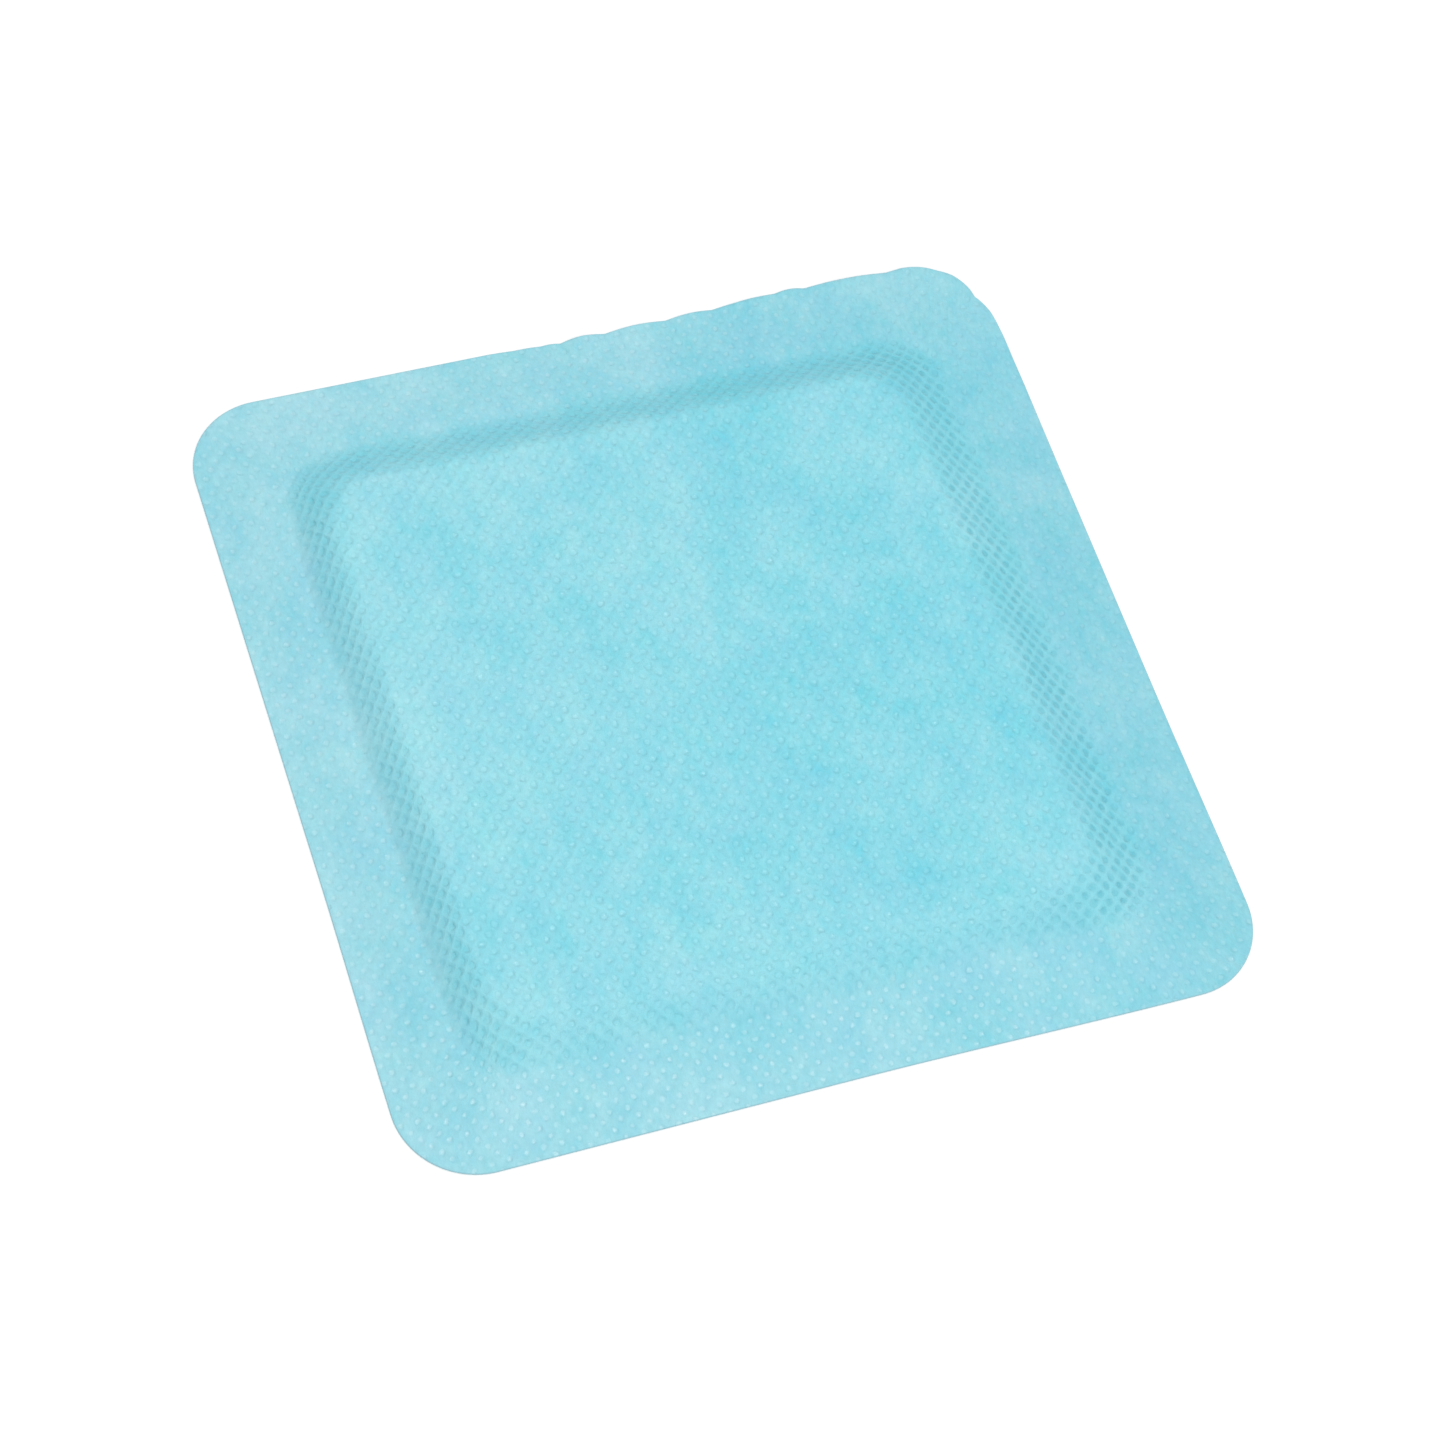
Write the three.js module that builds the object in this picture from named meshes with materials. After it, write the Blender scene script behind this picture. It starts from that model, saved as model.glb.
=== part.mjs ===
// A super absorbent wound dressing: a square pad with a soft blue nonwoven face. An absorbent
// core lies between two sheets that are welded together all round it, so the whole dressing is
// one closed soft body with a raised middle and a thin border.
//
// Units are millimetres and +Z is up. The dressing lies on the plane z = 0 with the origin under
// its middle. +X is its right-hand side and +Y its far side.

import * as THREE from 'three';

// Cut edge: a square with rounded corners, a little wider at its near end and longer at its right
const width = 100;
const length = 100;
const cutCornerRadius = 9.2;
const nearEndFlare = 0.2;
const rightEndFlare = 0.5;
const flareLength = 38;

// Welded border round the core
const borderWidth = 9;
const borderThickness = 0.5;
const weldHeight = 0.8;
const footCornerRadius = 7;

// Wrapped core: its height above the table, and the run of each slope from the border to its top
const thickness = 5;
const leftSlope = 4.4;
const rightSlope = 6.2;
const nearSlope = 5.8;
const farSlope = 5.4;
const coreCornerRadius = 5.5;
const shoulderRoundness = 2;
const footRoundness = 1.3;
const undersideSlope = 3;

// Soft unevenness of the core's top
const lumpHeight = 0.12;
const lumpLength = 34;
const lumpBreadth = 23;
const lumpTurn = 35; // degrees from +X

// Puckers of the far border, where the welded sheets gather, and the raised far right corner
const puckerHeight = 0.5;
const puckerPitch = 7.6;
const puckerDepth = 5;
const puckeredLength = 66;
const puckerFade = 12;
const cornerLift = 0.9;
const cornerLiftReach = 34;

// Fineness of the faces
const nearSideSteps = 18;
const farSideSteps = 46;
const sideSteps = 18;
const cornerSteps = 9;
const borderRings = 4;
const slopeRings = 8;
const coreRings = 5;
const undersideRings = 3;

const allRound = (value) => ({ left: value, right: value, near: value, far: value });
const smooth = (from, to, value) => THREE.MathUtils.smoothstep(value, from, to);

// Points of a rounded rectangle, anticlockwise from the near end of its right side, at the given
// distances inside the cut edge. Every call gives as many points, in the same order.
function roundedRectangle(inset, radius) {
  const right = width / 2 - inset.right;
  const left = -width / 2 + inset.left;
  const far = length / 2 - inset.far;
  const near = -length / 2 + inset.near;
  const corners = [
    { x: right - radius, y: far - radius, turn: 0, stepsBefore: sideSteps },
    { x: left + radius, y: far - radius, turn: Math.PI / 2, stepsBefore: farSideSteps },
    { x: left + radius, y: near + radius, turn: Math.PI, stepsBefore: sideSteps },
    { x: right - radius, y: near + radius, turn: 1.5 * Math.PI, stepsBefore: nearSideSteps },
  ];
  const onArc = (corner, share) => ({
    x: corner.x + radius * Math.cos(corner.turn + (share * Math.PI) / 2),
    y: corner.y + radius * Math.sin(corner.turn + (share * Math.PI) / 2),
  });
  const points = [];
  let sideStart = onArc(corners[3], 1);
  for (const corner of corners) {
    const sideEnd = onArc(corner, 0);
    for (let step = 0; step < corner.stepsBefore; step += 1) {
      const share = step / corner.stepsBefore;
      points.push({
        x: THREE.MathUtils.lerp(sideStart.x, sideEnd.x, share),
        y: THREE.MathUtils.lerp(sideStart.y, sideEnd.y, share),
      });
    }
    for (let step = 0; step < cornerSteps; step += 1) {
      points.push(onArc(corner, step / cornerSteps));
    }
    sideStart = onArc(corner, 1);
  }
  return points;
}

const cutEdge = roundedRectangle(allRound(0), cutCornerRadius);

// Distance along the cut edge from the start of the far right corner, for each point of a ring
const alongEdge = cutEdge.map(() => 0);
for (let index = sideSteps + 1; index < cutEdge.length; index += 1) {
  const step = Math.hypot(
    cutEdge[index].x - cutEdge[index - 1].x,
    cutEdge[index].y - cutEdge[index - 1].y,
  );
  alongEdge[index] = alongEdge[index - 1] + step;
}

// How far the border's edge stands up at a point of a ring: shallow scallops with sharp valleys
// along the far side, and the lift of the far right corner. Both die out towards the core.
function borderRise(index, inset) {
  const along = alongEdge[index];
  const scallop = Math.abs(Math.sin((Math.PI * along) / puckerPitch));
  const fadeIn = smooth(0, puckerPitch, along);
  const fadeOut = 1 - smooth(puckeredLength - puckerFade, puckeredLength, along);
  const towardsEdge = 1 - smooth(0, puckerDepth, inset);
  const cornerDistance = Math.hypot(width / 2 - cutEdge[index].x, length / 2 - cutEdge[index].y);
  const nearCorner = 1 - smooth(0, cornerLiftReach, cornerDistance);
  const lift = cornerLift * nearCorner * (1 - inset / borderWidth);
  return puckerHeight * scallop * fadeIn * fadeOut * towardsEdge + lift;
}

// The flare moves the border's points outwards, most at the cut edge and not at all at the core
function flared(point, inset) {
  const share = 1 - inset / borderWidth;
  const rightEnd = smooth(width / 2 - flareLength, width / 2 - cutCornerRadius, point.x);
  const nearEnd = smooth(length / 2 - flareLength, length / 2 - cutCornerRadius, -point.y);
  return {
    x: point.x + share * nearEndFlare * nearEnd * (point.x / (width / 2)),
    y: point.y + share * rightEndFlare * rightEnd * (point.y / (length / 2)),
  };
}

// A ring of the border, at a share of its width from the cut edge inwards
function borderRing(share, faceThickness) {
  const inset = share * borderWidth;
  const radius = THREE.MathUtils.lerp(cutCornerRadius, footCornerRadius, share);
  const height = weldHeight * smooth(0, 1, share) + faceThickness;
  return roundedRectangle(allRound(inset), radius).map((point, index) => ({
    ...flared(point, inset),
    z: height + borderRise(index, inset),
  }));
}

// Gentle lumps of the fluff pulp under the sheet, nought at the foot of the slopes
function lump(point, share) {
  const turn = THREE.MathUtils.degToRad(lumpTurn);
  const along = point.x * Math.cos(turn) + point.y * Math.sin(turn);
  const across = point.y * Math.cos(turn) - point.x * Math.sin(turn);
  const lengthwise = Math.cos((2 * Math.PI * along) / lumpLength);
  const crosswise = Math.cos((2 * Math.PI * across) / lumpBreadth);
  return lumpHeight * share * lengthwise * crosswise;
}

// A ring of a slope, at a share of the way from the foot up to the core's top
function slopeRing(share) {
  const inset = {
    left: borderWidth + leftSlope * share,
    right: borderWidth + rightSlope * share,
    near: borderWidth + nearSlope * share,
    far: borderWidth + farSlope * share,
  };
  const radius = THREE.MathUtils.lerp(footCornerRadius, coreCornerRadius, share);
  const foot = weldHeight + borderThickness;
  const climb = 1 - (1 - share ** footRoundness) ** shoulderRoundness;
  return roundedRectangle(inset, radius).map((point) => ({
    ...point,
    z: foot + (thickness - foot) * climb + lump(point, share),
  }));
}

// A ring of the core's flat top, drawn in from the top of the slopes towards the middle
function coreRing(share) {
  const edge = slopeRing(1);
  const middle = coreMiddle();
  return edge.map((point) => {
    const x = THREE.MathUtils.lerp(point.x, middle.x, share);
    const y = THREE.MathUtils.lerp(point.y, middle.y, share);
    return { x, y, z: thickness + lump({ x, y }, 1) };
  });
}

// The middle of the core's top
function coreMiddle() {
  const x = (leftSlope - rightSlope) / 2;
  const y = (nearSlope - farSlope) / 2;
  return { x, y, z: thickness + lump({ x, y }, 1) };
}

// A ring of the underside between the weld line and the flat that the dressing lies on
function undersideRing(share) {
  const inset = borderWidth + undersideSlope * share;
  return roundedRectangle(allRound(inset), footCornerRadius).map((point) => ({
    ...point,
    z: weldHeight * (1 - smooth(0, 1, share)),
  }));
}

function shares(count, from, to) {
  return Array.from({ length: to - from + 1 }, (_, step) => (from + step) / count);
}

// The whole surface as one run of rings: from the middle of the top, out over the slopes and the
// border, round the cut edge and back in along the underside
const rings = [
  ...shares(coreRings, 1, coreRings - 1).reverse().map(coreRing),
  ...shares(slopeRings, 1, slopeRings).reverse().map(slopeRing),
  ...shares(borderRings, 0, borderRings).reverse().map((share) => borderRing(share, borderThickness)),
  ...shares(borderRings, 0, borderRings).map((share) => borderRing(share, 0)),
  ...shares(undersideRings, 1, undersideRings).map(undersideRing),
];

// One closed mesh of a run of rings with a point at each end
function closedRun(topPoint, ringList, bottomPoint) {
  const count = ringList[0].length;
  const points = [topPoint, ...ringList.flat(), bottomPoint];
  const bottom = points.length - 1;
  const faces = [];
  for (let index = 0; index < count; index += 1) {
    const next = (index + 1) % count;
    faces.push(0, 1 + index, 1 + next);
    for (let ring = 0; ring < ringList.length - 1; ring += 1) {
      const inner = 1 + ring * count;
      const outer = inner + count;
      faces.push(inner + index, outer + index, outer + next);
      faces.push(inner + index, outer + next, inner + next);
    }
    const lastRing = 1 + (ringList.length - 1) * count;
    faces.push(lastRing + index, bottom, lastRing + next);
  }
  const geometry = new THREE.BufferGeometry();
  const positions = points.flatMap((point) => [point.x, point.y, point.z]);
  geometry.setAttribute('position', new THREE.Float32BufferAttribute(positions, 3));
  geometry.setIndex(faces);
  geometry.computeVertexNormals();
  return geometry;
}

// Spunbond polypropylene nonwoven, dyed a light sea blue, soft and quite matt
const blueNonwoven = new THREE.MeshStandardMaterial({
  name: 'blue_nonwoven',
  color: 0x93dce9,
  roughness: 0.85,
  metalness: 0,
});

const dressing = new THREE.Mesh(
  closedRun(coreMiddle(), rings, { x: 0, y: 0, z: 0 }),
  blueNonwoven,
);
dressing.name = 'dressing';

const part = new THREE.Group();
part.name = 'super_absorbent_dressing';
part.add(dressing);

export default part;
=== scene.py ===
import math

import bpy
import numpy as np
from mathutils import Matrix, Vector
from mathutils.geometry import delaunay_2d_cdt


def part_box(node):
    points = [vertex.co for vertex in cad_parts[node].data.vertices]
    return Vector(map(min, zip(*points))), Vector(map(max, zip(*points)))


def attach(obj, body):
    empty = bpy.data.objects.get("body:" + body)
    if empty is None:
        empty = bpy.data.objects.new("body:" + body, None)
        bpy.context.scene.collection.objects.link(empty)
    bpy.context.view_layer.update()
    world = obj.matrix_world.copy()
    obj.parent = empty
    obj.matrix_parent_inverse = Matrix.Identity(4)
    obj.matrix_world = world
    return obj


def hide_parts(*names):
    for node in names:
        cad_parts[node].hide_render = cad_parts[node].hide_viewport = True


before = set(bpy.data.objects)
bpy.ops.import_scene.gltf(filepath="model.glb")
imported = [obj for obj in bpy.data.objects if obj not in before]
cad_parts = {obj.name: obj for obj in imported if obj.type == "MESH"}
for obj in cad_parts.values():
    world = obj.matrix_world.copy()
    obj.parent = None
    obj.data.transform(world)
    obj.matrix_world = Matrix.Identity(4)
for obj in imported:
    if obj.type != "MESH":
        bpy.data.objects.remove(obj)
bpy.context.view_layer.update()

# Die cut outline
# A steel rule die cuts the dressing out of the welded sheets, to a square of 10 cm by 10 cm with
# rounded corners. Its middle lies over the origin, and its sizes are in millimetres.
MM = 0.001
CUT_CORNER_RADIUS = 9.2
NEAR_END_FLARE = 0.2
RIGHT_END_FLARE = 0.5
FLARE_LENGTH = 38.0

node_low, node_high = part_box("dressing")
HALF_WIDTH = (node_high.x - node_low.x) / 2 / MM - NEAR_END_FLARE
HALF_LENGTH = (node_high.y - node_low.y) / 2 / MM - RIGHT_END_FLARE


def depth_inside(x, y, left, right, near, far, radius):
    """How far points lie inside a rounded rectangle, less than 0 outside it."""
    out_x = np.maximum(left + radius - x, x - right + radius)
    out_y = np.maximum(near + radius - y, y - far + radius)
    past_corner = np.hypot(np.maximum(out_x, 0), np.maximum(out_y, 0))
    return radius - past_corner - np.minimum(np.maximum(out_x, out_y), 0)


def depth_from_cut_edge(x, y, inset=0.0, radius=CUT_CORNER_RADIUS):
    """How far points lie inside the cut edge, or inside a line drawn at an inset from it."""
    wide = HALF_WIDTH - inset
    long = HALF_LENGTH - inset
    return depth_inside(x, y, -wide, wide, -long, long, radius)


# Welded border
# Round the core the two sheets are welded to each other by heat, which leaves a thin, flexible
# border. It droops to the table, and its far edge has gathered into puckers.
BORDER_WIDTH = 9.0
BORDER_THICKNESS = 0.3
WELD_HEIGHT = 0.8
FOOT_CORNER_RADIUS = 7.0
CORNER_LIFT = 0.25
CORNER_LIFT_REACH = 34.0
TINY = 1e-6

# The puckers stand up between sharp valleys. Their ends are distances along the cut edge from the
# start of the far right corner.
PUCKER_ENDS = (4.0, 16.4, 27.0, 30.8, 39.0, 45.0, 52.8, 58.4, 60.8, 67.2)
PUCKER_HEIGHTS = (0.5, 0.4, 0.3, 0.3, 0.3, 0.35, 0.5, 0.12, 0.1)
PUCKER_OUT = 0.35
PUCKER_DEPTH = 5.0

# The gathers draw the far edge in where they start and let it out towards the right, and the far
# right corner is drawn in, most at the notch beside its pucker. Each pair is a distance along the
# edge and how far the edge lies outwards there.
GATHERS = (
    (-10.0, 0.0), (-6.0, -0.05), (-3.0, -0.05), (-1.0, -0.16), (1.0, -0.35), (3.0, -0.63),
    (4.0, -0.79), (5.0, -0.56), (6.0, -0.45), (8.0, -0.3), (10.0, -0.4), (12.0, -0.1),
    (14.5, 0.2), (16.5, 0.24), (22.0, 0.25), (27.0, 0.4), (30.8, 0.5), (33.0, 0.35),
    (36.0, 0.1), (39.2, 0.0), (45.2, -0.2), (52.8, -0.34), (54.5, -0.45), (58.2, -0.46),
    (62.0, -0.25), (64.2, -0.27), (67.2, 0.0),
)
GATHER_ALONG, GATHER_OUT = zip(*GATHERS)


def smooth(start, end, value):
    """Goes from 0 at start to 1 at end with no kink at either."""
    share = np.clip((value - start) / (end - start), 0, 1)
    return share * share * (3 - 2 * share)


def past_corners(x, y):
    """How far points lie past the straight lines that join the middles of the rounded corners."""
    centre_x = HALF_WIDTH - CUT_CORNER_RADIUS
    centre_y = HALF_LENGTH - CUT_CORNER_RADIUS
    return x - np.clip(x, -centre_x, centre_x), y - np.clip(y, -centre_y, centre_y)


def along_far_edge(x, y):
    """Distance along the cut edge from the start of the far right corner."""
    centre_x = HALF_WIDTH - CUT_CORNER_RADIUS
    centre_y = HALF_LENGTH - CUT_CORNER_RADIUS
    past_x, past_y = past_corners(x, y)
    turn = np.arctan2(np.maximum(past_y, 0), np.maximum(past_x, TINY))
    before = np.where(x > 0, y - centre_y, 2 * HALF_WIDTH)
    after = np.maximum(centre_x - x, 0)
    return np.where(y > centre_y, CUT_CORNER_RADIUS * turn + after, before)


def puckers(x, y):
    """Height of the puckers at the cut edge beside each point."""
    along = along_far_edge(x, y)
    total = np.zeros_like(x)
    for start, end, height in zip(PUCKER_ENDS, PUCKER_ENDS[1:], PUCKER_HEIGHTS):
        total += height * np.sin(math.pi * np.clip((along - start) / (end - start), 0, 1))
    return total


def border_rise(x, y, depth):
    """How far the border stands up: puckers along the far edge and the raised far right corner."""
    from_corner = np.hypot(HALF_WIDTH - x, HALF_LENGTH - y)
    lift = CORNER_LIFT * (1 - smooth(0, CORNER_LIFT_REACH, from_corner))
    towards_core = np.clip(1 - depth / BORDER_WIDTH, 0, 1)
    return puckers(x, y) * (1 - smooth(0, PUCKER_DEPTH, depth)) + lift * towards_core


def flared(x, y, depth):
    """Moves the border to its real outline, which is not quite square."""
    share = np.clip(1 - depth / BORDER_WIDTH, 0, 1)
    near_end = smooth(HALF_LENGTH - FLARE_LENGTH, HALF_LENGTH - CUT_CORNER_RADIUS, -y)
    right_end = smooth(0, HALF_WIDTH - CUT_CORNER_RADIUS, x)
    near_side = smooth(0, HALF_LENGTH, -y)
    past_x, past_y = past_corners(x, y)
    past = np.hypot(past_x, past_y) + TINY
    gathered = np.interp(along_far_edge(x, y), GATHER_ALONG, GATHER_OUT)
    gathered = gathered + PUCKER_OUT * puckers(x, y)
    out_x = NEAR_END_FLARE * near_end * x / HALF_WIDTH + gathered * past_x / past
    out_y = gathered * past_y / past - RIGHT_END_FLARE * right_end * near_side
    return x + share * out_x, y + share * out_y


# Absorbent core
# A pad of fluff pulp and superabsorbent grains, pressed flat and wrapped in tissue, lies between
# the sheets before they are welded. It holds the backing sheet up, and its soft edges leave the
# four slopes round it a little wavy.
CORE_TOP = 5.0
CORE_CORNER_RADIUS = 5.5
LEFT_SLOPE = 4.4
RIGHT_SLOPE = 8.5
NEAR_SLOPE = 5.8
FAR_SLOPE = 7.6
UNDERSIDE_SLOPE = 3.0
SHOULDER_ROUNDNESS = 2
WANDER = 0.45
WANDER_LENGTH = 26.0
LUMP_HEIGHT = 0.14
LUMP_LENGTH = 24.0

# The slopes on the left and near sides start steeply at their foot, and those on the right and
# far sides more gently.
STEEP_FOOT = 1.3
GENTLE_FOOT = 1.9
FOOT_CHANGE_REACH = 6

# An unevenness is a sum of waves, each between these two times as long as it says. The last value
# brings the sum to about -1 to 1.
SHORTEST_WAVE = 0.7
LONGEST_WAVE = 1.5
WAVE_PEAK = 1.5


def depth_from_core_edge(x, y):
    """How far points lie inside the edge of the core's flat top."""
    left = -HALF_WIDTH + BORDER_WIDTH + LEFT_SLOPE
    right = HALF_WIDTH - BORDER_WIDTH - RIGHT_SLOPE
    near = -HALF_LENGTH + BORDER_WIDTH + NEAR_SLOPE
    far = HALF_LENGTH - BORDER_WIDTH - FAR_SLOPE
    return depth_inside(x, y, left, right, near, far, CORE_CORNER_RADIUS)


def share_across(past_start, before_end):
    """Goes evenly from 0 at the start of a strip to 1 at its end, from the distances to both."""
    past = np.maximum(past_start, 0)
    return past / (past + np.maximum(before_end, 0) + TINY)


def soft_waves(x, y, length, seed, count=9):
    """A smooth random unevenness of about -1 to 1, with waves of about the given length."""
    draw = np.random.default_rng(seed)
    total = np.zeros_like(x)
    for _ in range(count):
        heading = draw.uniform(0, 2 * math.pi)
        wave_length = length * draw.uniform(SHORTEST_WAVE, LONGEST_WAVE)
        phase = draw.uniform(0, 2 * math.pi)
        along = x * math.cos(heading) + y * math.sin(heading)
        total += np.sin(2 * math.pi * along / wave_length + phase)
    return total / math.sqrt(count) / WAVE_PEAK


def upper_face_height(x, y):
    """Height of the upper face over the table."""
    wander_x = x + WANDER * soft_waves(x, y, WANDER_LENGTH, 1)
    wander_y = y + WANDER * soft_waves(x, y, WANDER_LENGTH, 2)
    from_cut = np.maximum(depth_from_cut_edge(x, y), 0)
    from_foot = depth_from_cut_edge(wander_x, wander_y, BORDER_WIDTH, FOOT_CORNER_RADIUS)
    over_border = share_across(from_cut, -from_foot)
    up_slope = share_across(from_foot, -depth_from_core_edge(wander_x, wander_y))
    foot_change = smooth(-FOOT_CHANGE_REACH, FOOT_CHANGE_REACH, x + y)
    foot_curve = STEEP_FOOT + (GENTLE_FOOT - STEEP_FOOT) * foot_change
    climb = 1 - (1 - up_slope ** foot_curve) ** SHOULDER_ROUNDNESS
    lumps = LUMP_HEIGHT * soft_waves(x, y, LUMP_LENGTH, 3) * up_slope
    foot = WELD_HEIGHT + BORDER_THICKNESS
    slope_and_top = foot + (CORE_TOP - foot) * climb + lumps
    border = BORDER_THICKNESS + WELD_HEIGHT * smooth(0, 1, over_border) + border_rise(x, y, from_cut)
    return np.where(from_foot > 0, slope_and_top, border)


def lower_face_height(x, y):
    """Height of the lower face over the table."""
    from_cut = np.maximum(depth_from_cut_edge(x, y), 0)
    from_foot = depth_from_cut_edge(x, y, BORDER_WIDTH, FOOT_CORNER_RADIUS)
    over_border = share_across(from_cut, -from_foot)
    border = WELD_HEIGHT * smooth(0, 1, over_border) + border_rise(x, y, from_cut)
    under_core = WELD_HEIGHT * (1 - smooth(0, UNDERSIDE_SLOPE, from_foot))
    return np.where(from_foot > 0, under_core, border)


# Backing sheet
# The face that shows is spunbond polypropylene nonwoven, dyed sea blue. Rollers press its loose
# fibres together at a lattice of small bond points, which stay as shallow flat dimples.
BOND_PERIOD_X = 1.974
BOND_PERIOD_Y = 2.057
BOND_TURN = math.radians(-1.0)
BOND_STEPS = 6
BOND_DIP = 0.04
BOND_RADIUS = 0.34
BOND_WALL = 0.3
GRID_MARGIN = 4
SETTLING_ROUNDS = 8


def drawn_in(x, y):
    """How much more sheet lies between the middle and each point than its place in plan shows,
    because the sheet climbs the slopes of the core."""
    rise = CORE_TOP - WELD_HEIGHT - BORDER_THICKNESS
    foot_x = HALF_WIDTH - BORDER_WIDTH
    foot_y = HALF_LENGTH - BORDER_WIDTH
    beside_x = 1 - smooth(foot_x - RIGHT_SLOPE, foot_x + BORDER_WIDTH, np.abs(x))
    beside_y = 1 - smooth(foot_y - FAR_SLOPE, foot_y + BORDER_WIDTH, np.abs(y))
    extra_x = np.zeros_like(x)
    extra_y = np.zeros_like(y)
    for run, side in ((LEFT_SLOPE, -1), (RIGHT_SLOPE, 1)):
        extra = math.hypot(run, rise) - run
        extra_x += side * extra * smooth(foot_x - run, foot_x, side * x) * beside_y
    for run, side in ((NEAR_SLOPE, -1), (FAR_SLOPE, 1)):
        extra = math.hypot(run, rise) - run
        extra_y += side * extra * smooth(foot_y - run, foot_y, side * y) * beside_x
    return extra_x, extra_y


# Grid of the sheet laid flat, with its lines on the lattice so that each dimple has its own points
reach_x = math.ceil((HALF_WIDTH + GRID_MARGIN) / BOND_PERIOD_X) * BOND_STEPS
reach_y = math.ceil((HALF_LENGTH + GRID_MARGIN) / BOND_PERIOD_Y) * BOND_STEPS
step_x, step_y = np.meshgrid(np.arange(-reach_x, reach_x + 1), np.arange(-reach_y, reach_y + 1))
lattice_x = step_x * BOND_PERIOD_X / BOND_STEPS
lattice_y = step_y * BOND_PERIOD_Y / BOND_STEPS
flat_x = lattice_x * math.cos(BOND_TURN) - lattice_y * math.sin(BOND_TURN)
flat_y = lattice_x * math.sin(BOND_TURN) + lattice_y * math.cos(BOND_TURN)

# Place in plan of each point of the flat sheet, which every round brings closer
x = flat_x.copy()
y = flat_y.copy()
for _ in range(SETTLING_ROUNDS):
    extra_x, extra_y = drawn_in(x, y)
    x = flat_x - extra_x
    y = flat_y - extra_y

# The grid's faces that lie well inside the cut edge, and the lines that bound them
EDGE_RADIUS = BORDER_THICKNESS / 2
EDGE_CURVE = CUT_CORNER_RADIUS - EDGE_RADIUS
EDGE_MARGIN = 0.12
inside = depth_from_cut_edge(x, y, EDGE_RADIUS, EDGE_CURVE) > EDGE_MARGIN
kept = inside[:-1, :-1] & inside[:-1, 1:] & inside[1:, :-1] & inside[1:, 1:]
number = np.arange(x.size).reshape(x.shape)
quads = np.stack([number[:-1, :-1], number[:-1, 1:], number[1:, 1:], number[1:, :-1]], -1)[kept]
used = np.unique(quads)
quads = np.searchsorted(used, quads)
x = x.ravel()[used]
y = y.ravel()[used]
sheet_x = lattice_x.ravel()[used]
sheet_y = lattice_y.ravel()[used]
faces = quads.tolist()
sides = np.concatenate([quads[:, [corner, (corner + 1) % 4]] for corner in range(4)])
forward = sides[:, 0] * len(used) + sides[:, 1]
backward = sides[:, 1] * len(used) + sides[:, 0]
grid_edge = sides[~np.isin(forward, backward)]

# Dimples of the bond points. The material carries the finer part of each dip.
period = np.array([BOND_PERIOD_X, BOND_PERIOD_Y])
sheet_places = np.stack([sheet_x, sheet_y], -1)
from_rows = [
    sheet_places - period * (np.round(sheet_places / period - shift) + shift) for shift in (0.0, 0.5)
]
from_bond = np.minimum(*[np.hypot(gap[:, 0], gap[:, 1]) for gap in from_rows])
dip = BOND_DIP * (1 - smooth(BOND_RADIUS - BOND_WALL / 2, BOND_RADIUS + BOND_WALL, from_bond))
top_x, top_y = flared(x, y, depth_from_cut_edge(x, y))
points = [np.stack([top_x, top_y, upper_face_height(x, y) - dip], -1)]
texture = [sheet_places]
total = len(used)

# Cut edge
# The die leaves the edges of both sheets pressed together and slightly rounded. Rings of points
# run round it from the upper face to the lower one, and triangles join the first to the grid.
EDGE_POINTS = 1100
EDGE_STEPS = 3
SEARCH_ROUNDS = 12
SAME_PLACE = 1e-7
ALMOST_LEVEL = 1e-12


def cut_edge_rays(count):
    """Where evenly turned rays from the middle meet the line just inside the cut edge."""
    angles = -math.pi + 2 * math.pi * np.arange(count) / count
    reach = np.full(count, HALF_WIDTH)
    for _ in range(SEARCH_ROUNDS):
        ray_x = reach * np.cos(angles)
        ray_y = reach * np.sin(angles)
        reach += depth_from_cut_edge(ray_x, ray_y, EDGE_RADIUS, EDGE_CURVE)
    return angles, reach


def fill_between(edges, place_of):
    """Triangles that fill the strip between two closed lines, each given as its edges."""
    numbers = np.unique(edges)
    order = {point: place for place, point in enumerate(numbers.tolist())}
    places = [Vector(place_of[point]) for point in numbers.tolist()]
    lines = [(order[start], order[end]) for start, end in edges.tolist()]
    found = delaunay_2d_cdt(places, lines, [], 0, SAME_PLACE)
    original = [ids[0] for ids in found[3]]
    triangles = np.array([[original[corner] for corner in face] for face in found[2]])
    flat = np.array([tuple(place) for place in places])
    middle = flat[triangles].mean(1)
    start = flat[[line[0] for line in lines]]
    end = flat[[line[1] for line in lines]]
    beside = (start[:, 1] > middle[:, 1:]) != (end[:, 1] > middle[:, 1:])
    slope = (end[:, 0] - start[:, 0]) / (end[:, 1] - start[:, 1] + ALMOST_LEVEL)
    crossed = beside & (middle[:, :1] < start[:, 0] + slope * (middle[:, 1:] - start[:, 1]))
    in_strip = crossed.sum(1) % 2 == 1
    return numbers[triangles[in_strip]].tolist()


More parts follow.
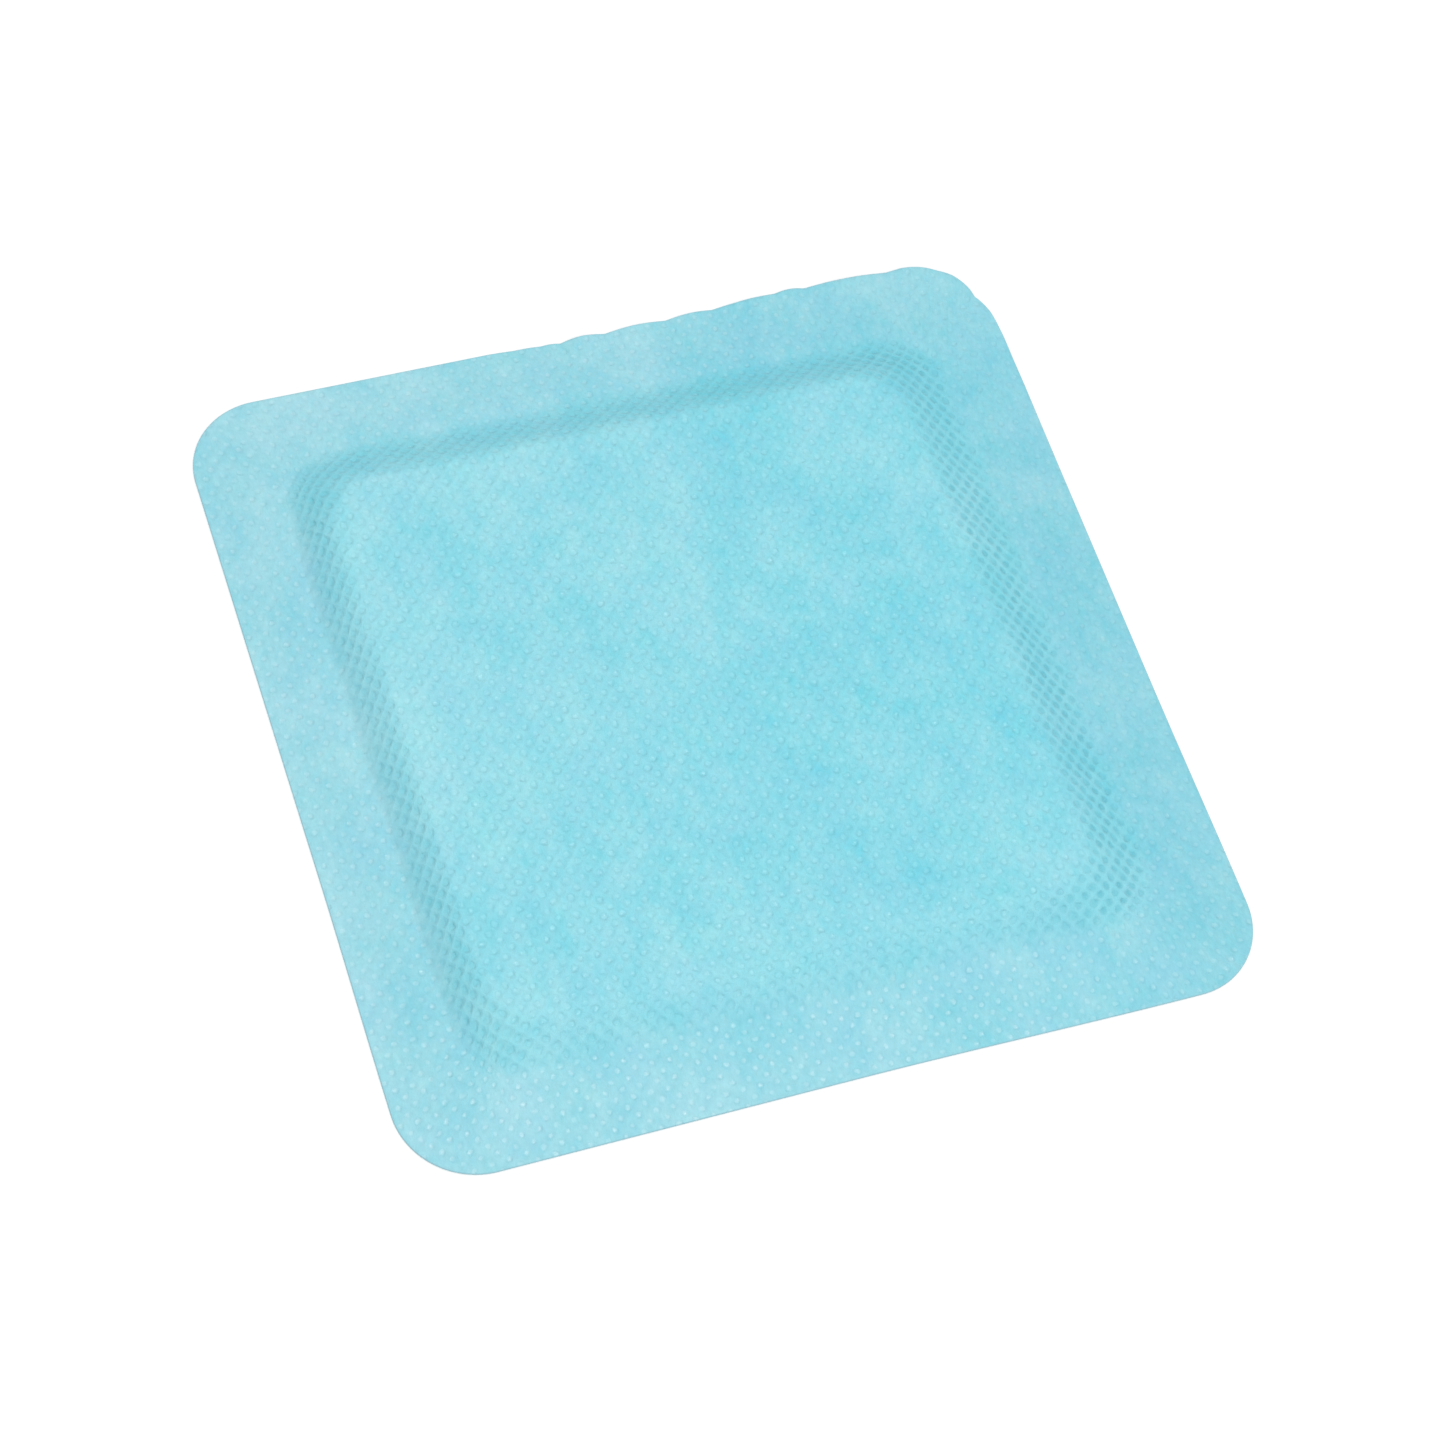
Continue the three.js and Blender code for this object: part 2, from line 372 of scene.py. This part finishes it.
edge_angles, edge_reach = cut_edge_rays(EDGE_POINTS)
edge_x = edge_reach * np.cos(edge_angles)
edge_y = edge_reach * np.sin(edge_angles)
edge_z = upper_face_height(edge_x, edge_y) - EDGE_RADIUS
out_x = np.gradient(edge_y)
out_y = -np.gradient(edge_x)
out_size = np.hypot(out_x, out_y)
extra_x, extra_y = drawn_in(edge_x, edge_y)
plan_x = edge_x + extra_x
plan_y = edge_y + extra_y
edge_sheet_x = plan_x * math.cos(BOND_TURN) + plan_y * math.sin(BOND_TURN)
edge_sheet_y = plan_y * math.cos(BOND_TURN) - plan_x * math.sin(BOND_TURN)
edge_rings = []
for step in range(EDGE_STEPS + 1):
    turn = math.pi * step / EDGE_STEPS
    ring_x = edge_x + EDGE_RADIUS * math.sin(turn) * out_x / out_size
    ring_y = edge_y + EDGE_RADIUS * math.sin(turn) * out_y / out_size
    ring_z = edge_z + EDGE_RADIUS * math.cos(turn)
    shown_x, shown_y = flared(ring_x, ring_y, depth_from_cut_edge(ring_x, ring_y))
    points.append(np.stack([shown_x, shown_y, ring_z], -1))
    texture.append(np.stack([edge_sheet_x, edge_sheet_y], -1))
    edge_rings.append(total + np.arange(EDGE_POINTS))
    total += EDGE_POINTS

ring_edge = np.stack([edge_rings[0], np.roll(edge_rings[0], -1)], -1)
strip_places = np.concatenate([np.stack([x, y], -1), np.stack([edge_x, edge_y], -1)])
faces += fill_between(np.concatenate([grid_edge, ring_edge]), strip_places)
for upper, lower in zip(edge_rings, edge_rings[1:]):
    faces += np.stack([upper, lower, np.roll(lower, -1), np.roll(upper, -1)], -1).tolist()

# Wound contact sheet
# The underside is a second nonwoven sheet, flat where the core lies on the table and drawn up
# to the weld round it. Rings of fewer points fill it from the cut edge to the middle.
UNDERSIDE_POINTS = 240
UNDERSIDE_RINGS = 14


def stitch(outer, outer_angles, inner, inner_angles):
    """Triangles that face down between two rings of points, both anticlockwise from -180 degrees."""
    triangles = []
    at_outer = 0
    at_inner = 0
    while at_outer < len(outer) or at_inner < len(inner):
        next_outer = outer_angles[at_outer + 1] if at_outer + 1 < len(outer) else math.pi
        next_inner = inner_angles[at_inner + 1] if at_inner + 1 < len(inner) else math.pi
        outer_now = int(outer[at_outer % len(outer)])
        inner_now = int(inner[at_inner % len(inner)])
        if at_inner >= len(inner) or (at_outer < len(outer) and next_outer <= next_inner):
            at_outer += 1
            next_point = int(outer[at_outer % len(outer)])
        else:
            at_inner += 1
            next_point = int(inner[at_inner % len(inner)])
        triangles.append([inner_now, next_point, outer_now])
    return triangles


ring = edge_rings[-1]
ring_angles = edge_angles
under_angles, under_reach = cut_edge_rays(UNDERSIDE_POINTS)
for step in range(1, UNDERSIDE_RINGS):
    share = 1 - step / UNDERSIDE_RINGS
    ring_x = under_reach * share * np.cos(under_angles)
    ring_y = under_reach * share * np.sin(under_angles)
    shown_x, shown_y = flared(ring_x, ring_y, depth_from_cut_edge(ring_x, ring_y))
    points.append(np.stack([shown_x, shown_y, lower_face_height(ring_x, ring_y)], -1))
    texture.append(np.stack([ring_x, ring_y], -1))
    new_ring = total + np.arange(UNDERSIDE_POINTS)
    total += UNDERSIDE_POINTS
    faces += stitch(ring, ring_angles, new_ring, under_angles)
    ring = new_ring
    ring_angles = under_angles
points.append(np.zeros((1, 3)))
texture.append(np.zeros((1, 2)))
middle = np.full(UNDERSIDE_POINTS, total)
faces += np.stack([np.roll(ring, -1), ring, middle], -1).tolist()

# Dressing pad
# The sheets, the core between them and the weld are one sealed piece. Its mesh keeps each point's
# place on the flat sheet, so that the lattice runs over the slopes as it does on a real sheet.
points = np.concatenate(points)
texture = np.concatenate(texture)
mesh = bpy.data.meshes.new("dressing_pad")
mesh.from_pydata((points * MM).tolist(), [], faces)
mesh.update()
sheet_map = mesh.uv_layers.new(name="sheet_mm")
corner_points = np.zeros(len(mesh.loops), int)
mesh.loops.foreach_get("vertex_index", corner_points)
sheet_map.data.foreach_set("uv", texture[corner_points].astype(np.float32).ravel())
mesh.polygons.foreach_set("use_smooth", [True] * len(mesh.polygons))

# The sheet lies and looks a little different from side to side. A side's share grows from nothing
# to all between these distances from the middle.
SIDE_START = 15
NEAR_SIDE_START = 25
SIDE_FULL = 38

# Each value is what all sides have and what each side adds. Beside the core the sheet spans a gap,
# whose shade is painted into its bond points as darker spots, and halfway up the slopes it is
# stretched, with painted shade laid on most on the far slope.
GAP_WIDTH = {"all": 0.25, "left": 0.55, "right": 0.65, "far": 0.05}
GAP_SHADE_SHOWN = {"all": 0.14, "right": 0.66, "far": -0.08}
DEEPENED = {"all": 0.14, "left": 0.06}
STRETCHED_AND_SHADED = {"all": 0.1, "right": 0.25, "far": 1.0}
# Pale bond-point film: partly its own colour, partly painted glint, strongest at the near side
BORDER_FILM_AND_GLINT = {"all": 0.20, "near": 0.08, "right": -0.13, "far": -0.04}
CORE_FILM_AND_GLINT = 0.03

# The colour is paler at the near side, less so at its corners, and at the cut edge. It is darkened
# by painted shade towards the right, where less light falls, though hardly at its far end.
NEAR_PALENESS = 0.1
NEAR_CORNER_LOSS = 0.5
EDGE_PALENESS = 0.04
RIGHT_PAINTED_SHADE = 0.03
FAR_END_LOSS = 0.7

# Strips in which a share changes: distances inside the foot of the slopes, shares of the way up
# the slopes, and distances from the middle
BACKED_STRIP = (-0.5, 2.5)
SPAN_FOOT = (0.0, 0.3)
SPAN_SHOULDER = (0.75, 1.0)
NEAR_CORNER_STRIP = (30, 45)
EDGE_STRIP = (41, 50)
RIGHT_STRIP = (28, 48)

# Between its bond points the sheet puffs up a little: least where it is welded, more where pulp
# lies behind it, and most where it spans the gap beside the core.
WELDED_LOFT = 0.02
BACKED_LOFT = 0.1
SPANNING_LOFT = 0.145


def sheet_shares(x, y):
    """How the sheet lies and looks at each point, by name."""
    from_foot = depth_from_cut_edge(x, y, BORDER_WIDTH, FOOT_CORNER_RADIUS)
    up_slope = share_across(from_foot, -depth_from_core_edge(x, y))
    at_side = {
        "all": 1.0,
        "left": smooth(SIDE_START, SIDE_FULL, -x),
        "right": smooth(SIDE_START, SIDE_FULL, x),
        "near": smooth(NEAR_SIDE_START, SIDE_FULL, -y),
        "far": smooth(SIDE_START, SIDE_FULL, y),
    }

    def by_side(amounts):
        return sum(amount * at_side[side] for side, amount in amounts.items())

    backed = smooth(*BACKED_STRIP, from_foot)
    over_gap = smooth(*SPAN_FOOT, up_slope) * (1 - smooth(*SPAN_SHOULDER, up_slope))
    spanning = by_side(GAP_WIDTH) * over_gap
    from_middle = np.maximum(np.abs(x), np.abs(y))
    past_near_corner = NEAR_CORNER_LOSS * smooth(*NEAR_CORNER_STRIP, np.abs(x))
    near_paleness = NEAR_PALENESS * at_side["near"] * (1 - past_near_corner)
    right_thinness = RIGHT_PAINTED_SHADE * smooth(*RIGHT_STRIP, x)
    border_film_and_glint = by_side(BORDER_FILM_AND_GLINT)
    flat_loft = WELDED_LOFT + (BACKED_LOFT - WELDED_LOFT) * backed
    return {
        "backed": backed,
        "spanning": spanning,
        # Painted shade of the gap behind, shown darker in the bond points
        "gap_shade": by_side(GAP_SHADE_SHOWN) * spanning,
        "deepened": by_side(DEEPENED) * spanning,
        # Deeper blue halfway up the slopes: stretched sheet, and painted shade on the far slope
        "stretch_and_shade": by_side(STRETCHED_AND_SHADED) * 4 * up_slope * (1 - up_slope),
        "paler": near_paleness + EDGE_PALENESS * smooth(*EDGE_STRIP, from_middle),
        # Painted shade: darker towards the right, where less light falls
        "thin": right_thinness * (1 - FAR_END_LOSS * at_side["far"]),
        # Pale film of the bond points, partly painted glint
        "film_and_glint": (border_film_and_glint + (CORE_FILM_AND_GLINT - border_film_and_glint) * backed) * (1 - spanning),
        "loft": flat_loft + (SPANNING_LOFT - flat_loft) * spanning,
    }


point_numbers = np.arange(len(points))
first_lower = edge_rings[1][0]
upper = point_numbers < first_lower
shares = {name: share * upper for name, share in sheet_shares(points[:, 0], points[:, 1]).items()}
shares["loft"] += WELDED_LOFT * ~upper
shares["cut"] = (point_numbers >= first_lower) & (point_numbers <= edge_rings[-1][-1])
for share_name, values in shares.items():
    attribute = mesh.attributes.new(share_name, "FLOAT", "POINT")
    attribute.data.foreach_set("value", values.astype(np.float32))

scene = bpy.context.scene
dressing_pad = bpy.data.objects.new("dressing_pad", mesh)
scene.collection.objects.link(dressing_pad)


def linear(hex_colour):
    """An sRGB hex colour as linear red, green, blue and alpha."""
    parts = [int(hex_colour[place:place + 2], 16) / 255 for place in (1, 3, 5)]
    return [p / 12.92 if p <= 0.04045 else ((p + 0.055) / 1.055) ** 2.4 for p in parts] + [1.0]


def add_node(tree, kind, inputs=None, output=0, **settings):
    """Adds a node with its settings, fills or links its inputs, and gives one of its outputs."""
    node = tree.nodes.new(kind)
    for name, value in settings.items():
        setattr(node, name, value)
    for name, value in (inputs or {}).items():
        if isinstance(value, bpy.types.NodeSocket):
            tree.links.new(value, node.inputs[name])
        else:
            node.inputs[name].default_value = value
    return node.outputs[output] if len(node.outputs) else None


# Spunbond polypropylene: soft, matt and a little cloudy, because the fibres lie thicker in some
# places than in others. The bond points are fused to a smooth film, so they shine a little; their
# paler colour is partly the film's own and partly painted glint.
nonwoven = bpy.data.materials.new("spunbond_polypropylene")
nonwoven.use_nodes = True
tree = nonwoven.node_tree
tree.nodes.clear()
place = add_node(tree, "ShaderNodeUVMap", uv_map="sheet_mm")
share_of = {}
for name in shares:
    share_of[name] = add_node(tree, "ShaderNodeAttribute", output="Fac", attribute_name=name)

# Noise lies round its middle value, nearly all of it between these two
NOISE_MIDDLE = 0.5
NOISE_LOW = 0.3
NOISE_HIGH = 0.7

# Fibres that cross the rim of a bond point make its outline uneven
RIM_UNEVENNESS = 0.35
RIM_WAVE = 0.8
rim_waves = {"Vector": place, "Scale": 1 / RIM_WAVE, "Detail": 1.0, "Roughness": 0.6}
wobble = add_node(tree, "ShaderNodeTexNoise", rim_waves, "Color", noise_dimensions="2D")
both_ways = {0: wobble, 1: (NOISE_MIDDLE, NOISE_MIDDLE, NOISE_MIDDLE)}
centred = add_node(tree, "ShaderNodeVectorMath", both_ways, operation="SUBTRACT")
rim_reach = {0: centred, 1: (RIM_UNEVENNESS, RIM_UNEVENNESS, 0.0)}
moved_by = add_node(tree, "ShaderNodeVectorMath", rim_reach, operation="MULTIPLY")
uneven_place = add_node(tree, "ShaderNodeVectorMath", {0: place, 1: moved_by}, operation="ADD")

# Distance from the nearest bond point, from the two sets of points that make the lattice
lattice_size = (BOND_PERIOD_X, BOND_PERIOD_Y, 1.0)
cells = add_node(tree, "ShaderNodeVectorMath", {0: uneven_place, 1: lattice_size}, operation="DIVIDE")
bond_gaps = []
for shift in (0.5, 1.0):
    moved = add_node(tree, "ShaderNodeVectorMath", {0: cells, 1: (shift, shift, 0.0)}, operation="ADD")
    within = add_node(tree, "ShaderNodeVectorMath", {0: moved}, operation="FRACTION")
    half_cell = {0: within, 1: (0.5, 0.5, 0.0)}
    from_point = add_node(tree, "ShaderNodeVectorMath", half_cell, operation="SUBTRACT")
    full_size = {0: from_point, 1: lattice_size}
    in_mm = add_node(tree, "ShaderNodeVectorMath", full_size, operation="MULTIPLY")
    bond_gaps.append(add_node(tree, "ShaderNodeVectorMath", {0: in_mm}, "Value", operation="LENGTH"))
nearest = add_node(tree, "ShaderNodeMath", {0: bond_gaps[0], 1: bond_gaps[1]}, operation="MINIMUM")

# No two points are pressed quite alike
PRESSING_LENGTH = 1.3
LIGHTLY_PRESSED = 0.45
FULLY_PRESSED = 1.15
pressing_waves = {"Vector": place, "Scale": 1 / PRESSING_LENGTH, "Detail": 2.0, "Roughness": 0.7}
pressing = add_node(tree, "ShaderNodeTexNoise", pressing_waves, noise_dimensions="2D")
pressing_range = {
    "Value": pressing,
    "From Min": NOISE_LOW,
    "From Max": NOISE_HIGH,
    "To Min": LIGHTLY_PRESSED,
    "To Max": FULLY_PRESSED,
}
pressed = add_node(tree, "ShaderNodeMapRange", pressing_range)

# Radii from which each feature of a bond point starts to show, and within which it shows in full
FILM_RADII = (0.38, 0.12)
SMOOTH_RADII = (0.34, 0.2)
DIMPLE_RADII = (0.62, 0.12)
PUFF_RADII = (1.0, 0.2)


def within_bond(outer, inner):
    """A mask that is 1 inside the bond points and fades to 0 between two radii."""
    fade = {"Value": nearest, "From Min": outer, "From Max": inner}
    return add_node(tree, "ShaderNodeMapRange", fade, interpolation_type="SMOOTHSTEP")


film, smooth_film, dimple = (
    add_node(tree, "ShaderNodeMath", {0: within_bond(*radii), 1: pressed}, operation="MULTIPLY")
    for radii in (FILM_RADII, SMOOTH_RADII, DIMPLE_RADII)
)

# Fibre clouds of every size from 40 mm down to 1 mm, a little longer one way than the other. The
# colour also turns slowly paler from the near right corner to the far left one, partly a fuller web
# and partly painted sheen.
CLOUD_WIDTH = 26
CLOUD_LENGTH = 38
CLOUD_TURN = math.radians(12)
CLOUD_MIDDLE = 0.51
CLOUD_SPREAD = 0.25
PALENESS_DRIFT = (-0.0018, 0.0008, 0.0)
cloud_size = {
    "Vector": place,
    "Rotation": (0.0, 0.0, CLOUD_TURN),
    "Scale": (1 / CLOUD_WIDTH, 1 / CLOUD_LENGTH, 1.0),
}
cloud_place = add_node(tree, "ShaderNodeMapping", cloud_size)
cloud_waves = {"Vector": cloud_place, "Scale": 1.0, "Detail": 5.0, "Roughness": 0.95}
clouds = add_node(tree, "ShaderNodeTexNoise", cloud_waves, noise_dimensions="2D")
# Partly painted sheen: paler towards the far left
drift = add_node(
    tree, "ShaderNodeVectorMath", {0: place, 1: PALENESS_DRIFT}, "Value", operation="DOT_PRODUCT"
)
drifted = add_node(tree, "ShaderNodeMath", {0: clouds, 1: drift}, operation="ADD")
paleness_sum = add_node(tree, "ShaderNodeMath", {0: drifted, 1: share_of["paler"]}, operation="ADD")
cloudiness = {
    "Value": paleness_sum,
    "From Min": CLOUD_MIDDLE - CLOUD_SPREAD,
    "From Max": CLOUD_MIDDLE + CLOUD_SPREAD,
}
paleness = add_node(tree, "ShaderNodeMapRange", cloudiness)

# The fibres are about 0.02 mm thick, too fine to show, so their grain is drawn as tufts of about
# 0.65 mm by 1 mm
TUFT_WIDTH = 0.65
TUFT_LENGTH = 1.0
TUFT_TURN = math.radians(25)
GRAIN_SPREAD = 0.9
GRAIN_CONTRAST = 0.2
tuft_size = {
    "Vector": place,
    "Rotation": (0.0, 0.0, TUFT_TURN),
    "Scale": (1 / TUFT_WIDTH, 1 / TUFT_LENGTH, 1.0),
}
tuft_place = add_node(tree, "ShaderNodeMapping", tuft_size)
tuft_waves = {"Vector": tuft_place, "Scale": 1.0, "Detail": 2.0, "Roughness": 0.75}
grain = add_node(tree, "ShaderNodeTexNoise", tuft_waves, noise_dimensions="2D")
graininess = {
    "Value": grain,
    "From Min": NOISE_MIDDLE - GRAIN_SPREAD,
    "From Max": NOISE_MIDDLE + GRAIN_SPREAD,
}
grain_share = add_node(tree, "ShaderNodeMapRange", graininess)
grain_range = {"Value": grain_share, "To Min": 1 - GRAIN_CONTRAST, "To Max": 1 + GRAIN_CONTRAST}
grain_shade = add_node(tree, "ShaderNodeMapRange", grain_range)
# The grain's shade, darkened towards the right by painted shade
shade = add_node(tree, "ShaderNodeMath", {0: grain_shade, 1: share_of["thin"]}, operation="SUBTRACT")

# Colour of the fibres: from thin to thick places of the web, over the core and over the border
THIN_OVER_CORE = "#6fd9e8"
THICK_OVER_CORE = "#a9e9f0"
THIN_BORDER = "#78d3e2"
THICK_BORDER = "#aee5ec"
core_tones = {0: paleness, 6: linear(THIN_OVER_CORE), 7: linear(THICK_OVER_CORE)}
border_tones = {0: paleness, 6: linear(THIN_BORDER), 7: linear(THICK_BORDER)}
over_core = add_node(tree, "ShaderNodeMix", core_tones, 2, data_type="RGBA")
over_border = add_node(tree, "ShaderNodeMix", border_tones, 2, data_type="RGBA")
both_tones = {0: share_of["backed"], 6: over_border, 7: over_core}
fibres = add_node(tree, "ShaderNodeMix", both_tones, 2, data_type="RGBA")
shaded = {0: 1.0, 6: fibres, 7: shade}
colour = add_node(tree, "ShaderNodeMix", shaded, 2, data_type="RGBA", blend_type="MULTIPLY")

# Uneven dye and fibre finish turn it a little bluer in places
DYE_PATCH = 6
DYE_UNEVENNESS = 0.28
OTHER_THAN_CLOUDS = 3.0
dye_patches = {
    "Vector": place,
    "Scale": 1 / DYE_PATCH,
    "Detail": 3.0,
    "Roughness": 0.8,
    "W": OTHER_THAN_CLOUDS,
}
dye = add_node(tree, "ShaderNodeTexNoise", dye_patches, noise_dimensions="4D")
dye_range = {
    "Value": dye,
    "From Min": NOISE_LOW,
    "From Max": NOISE_HIGH,
    "To Min": 0.0,
    "To Max": DYE_UNEVENNESS,
}
bluer = add_node(tree, "ShaderNodeMapRange", dye_range)

# Halfway up the slopes the sheet is stretched and thins to a deeper blue; on the far slope, which
# faces away from the lamps, most of this is painted shade. Where it spans the gap, the ridges between
# the bond points get a painted highlight, and the points painted shade from the gap behind.
STRETCH_AND_SHADE_DEPTH = 0.26
RIDGE_LIGHT = 0.17
thinned = add_node(
    tree, "ShaderNodeMath", {0: share_of["stretch_and_shade"], 1: STRETCH_AND_SHADE_DEPTH}, operation="MULTIPLY"
)
# Pale film of the bond points: partly its own colour, partly painted glint
film_and_glint_share = add_node(tree, "ShaderNodeMath", {0: film, 1: share_of["film_and_glint"]}, operation="MULTIPLY")
around = add_node(tree, "ShaderNodeMath", {0: 1.0, 1: dimple}, operation="SUBTRACT")
ridges = add_node(tree, "ShaderNodeMath", {0: around, 1: share_of["spanning"]}, operation="MULTIPLY")
ridge_light = add_node(tree, "ShaderNodeMath", {0: ridges, 1: RIDGE_LIGHT}, operation="MULTIPLY")
# Painted shade: the bond points beside the core are darkened by the gap behind them
gap_shade_share = add_node(
    tree, "ShaderNodeMath", {0: dimple, 1: share_of["gap_shade"]}, operation="MULTIPLY"
)

# Each colour is laid over the ones before it, by its share
BLUER_DYE = "#97cff0"
STRETCHED_AND_SHADED_WEB = "#36c0d7"
SPANNING_WEB = "#30d4e8"
FUSED_FILM_AND_GLINT = "#d0f2f8"
LIT_RIDGE = "#c4edf4"
PAINTED_GAP_SHADE = "#62bccd"
CUT_FIBRES = "#9ccfdb"
layers = (
    (bluer, BLUER_DYE),
    (thinned, STRETCHED_AND_SHADED_WEB),
    (share_of["deepened"], SPANNING_WEB),
    (film_and_glint_share, FUSED_FILM_AND_GLINT),
    (ridge_light, LIT_RIDGE),
    (gap_shade_share, PAINTED_GAP_SHADE),
    (share_of["cut"], CUT_FIBRES),
)
for layer_share, layer_colour in layers:
    laid_over = {0: layer_share, 6: colour, 7: linear(layer_colour)}
    colour = add_node(tree, "ShaderNodeMix", laid_over, 2, data_type="RGBA")

# The fused film is smooth, and the loose fibres round it are matt and rough. Each dip is pressed
# into a sheet that puffs up round it.
FIBRE_ROUGHNESS = 0.85
FILM_ROUGHNESS = 0.27
FIBRE_RELIEF = 0.6
FILM_RELIEF = 0.1
TUFT_DEPTH = 0.1
FUSED_DEPTH = 0.08
POLYPROPYLENE_IOR = 1.49
FUZZ = 0.1
FUZZ_ROUGHNESS = 0.5
roughness_range = {"Value": smooth_film, "To Min": FIBRE_ROUGHNESS, "To Max": FILM_ROUGHNESS}
relief_range = {"Value": smooth_film, "To Min": FIBRE_RELIEF, "To Max": FILM_RELIEF}
roughness = add_node(tree, "ShaderNodeMapRange", roughness_range)
relief = add_node(tree, "ShaderNodeMapRange", relief_range)
tufts = {"Height": grain, "Strength": relief, "Distance": TUFT_DEPTH * MM}
tuft_bump = add_node(tree, "ShaderNodeBump", tufts)
puffed = add_node(
    tree, "ShaderNodeMath", {0: within_bond(*PUFF_RADII), 1: share_of["loft"]}, operation="MULTIPLY"
)
fused = add_node(tree, "ShaderNodeMath", {0: dimple, 1: FUSED_DEPTH}, operation="MULTIPLY")
depth = add_node(tree, "ShaderNodeMath", {0: puffed, 1: fused}, operation="ADD")
dips = {"Height": depth, "Strength": 1.0, "Distance": MM, "Normal": tuft_bump}
surface_inputs = {
    "Base Color": colour,
    "Roughness": roughness,
    "IOR": POLYPROPYLENE_IOR,
    "Sheen Weight": FUZZ,
    "Sheen Roughness": FUZZ_ROUGHNESS,
    "Normal": add_node(tree, "ShaderNodeBump", dips, invert=True),
}
surface = add_node(tree, "ShaderNodeBsdfPrincipled", surface_inputs)
add_node(tree, "ShaderNodeOutputMaterial", {"Surface": surface})
mesh.materials.append(nonwoven)

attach(dressing_pad, "root")
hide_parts("dressing")

# Table
# The dressing lies on a table with a matt white laminate top, which takes its faint shadow. The
# table glows a little to the camera, so that it shows as plain white. Its size is in metres.
TABLE_SIZE = 6.0
TABLE_GLOW = 0.3
LAMINATE_WHITE = "#e6e6e6"
WHITE = (1.0, 1.0, 1.0, 1.0)


def shows_background(tree):
    """1 for rays from the camera and those that shiny or clear surfaces pass on, else 0."""
    rays = [
        add_node(tree, "ShaderNodeLightPath", output=ray)
        for ray in ("Is Camera Ray", "Is Glossy Ray", "Is Transmission Ray")
    ]
    seen = add_node(tree, "ShaderNodeMath", {0: rays[0], 1: rays[1]}, operation="MAXIMUM")
    return add_node(tree, "ShaderNodeMath", {0: seen, 1: rays[2]}, operation="MAXIMUM")


bpy.ops.mesh.primitive_plane_add(size=TABLE_SIZE, location=(0, 0, 0))
table = bpy.context.active_object
table.name = "table"
white_laminate = bpy.data.materials.new("white_laminate")
white_laminate.use_nodes = True
tree = white_laminate.node_tree
tree.nodes.clear()
laminate = add_node(tree, "ShaderNodeBsdfDiffuse", {"Color": linear(LAMINATE_WHITE)})
glow = add_node(tree, "ShaderNodeEmission", {"Color": WHITE, "Strength": TABLE_GLOW})
glowing = add_node(tree, "ShaderNodeAddShader", {0: laminate, 1: glow})
shown = add_node(tree, "ShaderNodeMixShader", {0: shows_background(tree), 1: laminate, 2: glowing})
add_node(tree, "ShaderNodeOutputMaterial", {"Surface": shown})
table.data.materials.append(white_laminate)

# Room
# The white walls and ceiling of the room give even light from all sides. They show as plain
# white, which is more than the light that they give.
ROOM_LIGHT = 0.69
scene.view_settings.view_transform = "Standard"
room = bpy.data.worlds.new("room")
scene.world = room
room.use_nodes = True
tree = room.node_tree
tree.nodes.clear()
room_range = {"Value": shows_background(tree), "To Min": ROOM_LIGHT, "To Max": 1.0}
room_level = add_node(tree, "ShaderNodeMapRange", room_range)
walls = add_node(tree, "ShaderNodeBackground", {"Color": WHITE, "Strength": room_level})
add_node(tree, "ShaderNodeOutputWorld", {"Surface": walls})

# Lamps
# A large soft lamp stands at the near side and a smaller one hangs almost overhead, which the
# film of the bond points reflects. Sizes and distances are in metres, and each lamp has the share
# of full white that it gives a white surface square to it.
LAMP_DISTANCE = 0.75
FULL_WHITE_POWER = math.pi ** 2 * LAMP_DISTANCE ** 2
LAMPS = {
    "near_lamp": {"towards": (0.05, -0.50, 0.86), "size": 0.35, "share": 0.23},
    "top_lamp": {"towards": (0.15, 0.20, 0.96), "size": 0.12, "share": 0.11},
}
for lamp_name, values in LAMPS.items():
    lamp_data = bpy.data.lights.new(lamp_name, "AREA")
    lamp_data.shape = "SQUARE"
    lamp_data.size = values["size"]
    lamp_data.energy = values["share"] * FULL_WHITE_POWER
    lamp = bpy.data.objects.new(lamp_name, lamp_data)
    scene.collection.objects.link(lamp)
    lamp.location = Vector(values["towards"]).normalized() * LAMP_DISTANCE
    lamp.rotation_mode = "QUATERNION"
    lamp.rotation_quaternion = lamp.location.to_track_quat("Z", "Y")

# Camera
# It stands on the near left of the dressing, looks down at it and is rolled a little. These
# values fit the four sides of the outline, and its sizes are in millimetres.
AZIMUTH = math.radians(-31.775)
ELEVATION = math.radians(60.077)
ROLL = math.radians(15.275)
DISTANCE = 442.43
AIM = Vector((-0.457, -4.22, 0.0))
LENS = 96.98
SENSOR = 36.0
CLIP_START = 10.0
back = Vector((
    math.sin(AZIMUTH) * math.cos(ELEVATION),
    -math.cos(AZIMUTH) * math.cos(ELEVATION),
    math.sin(ELEVATION),
))
level_right = Vector((0, 0, 1)).cross(back).normalized()
level_up = back.cross(level_right)
camera_right = level_right * math.cos(ROLL) + level_up * math.sin(ROLL)
camera_up = back.cross(camera_right)
camera_data = bpy.data.cameras.new("camera")
camera_data.lens = LENS
camera_data.sensor_width = SENSOR
camera_data.clip_start = CLIP_START * MM
camera = bpy.data.objects.new("camera", camera_data)
scene.collection.objects.link(camera)
camera_turn = Matrix((camera_right, camera_up, back)).transposed().to_4x4()
camera.matrix_world = Matrix.Translation((AIM + back * DISTANCE) * MM) @ camera_turn
scene.camera = camera
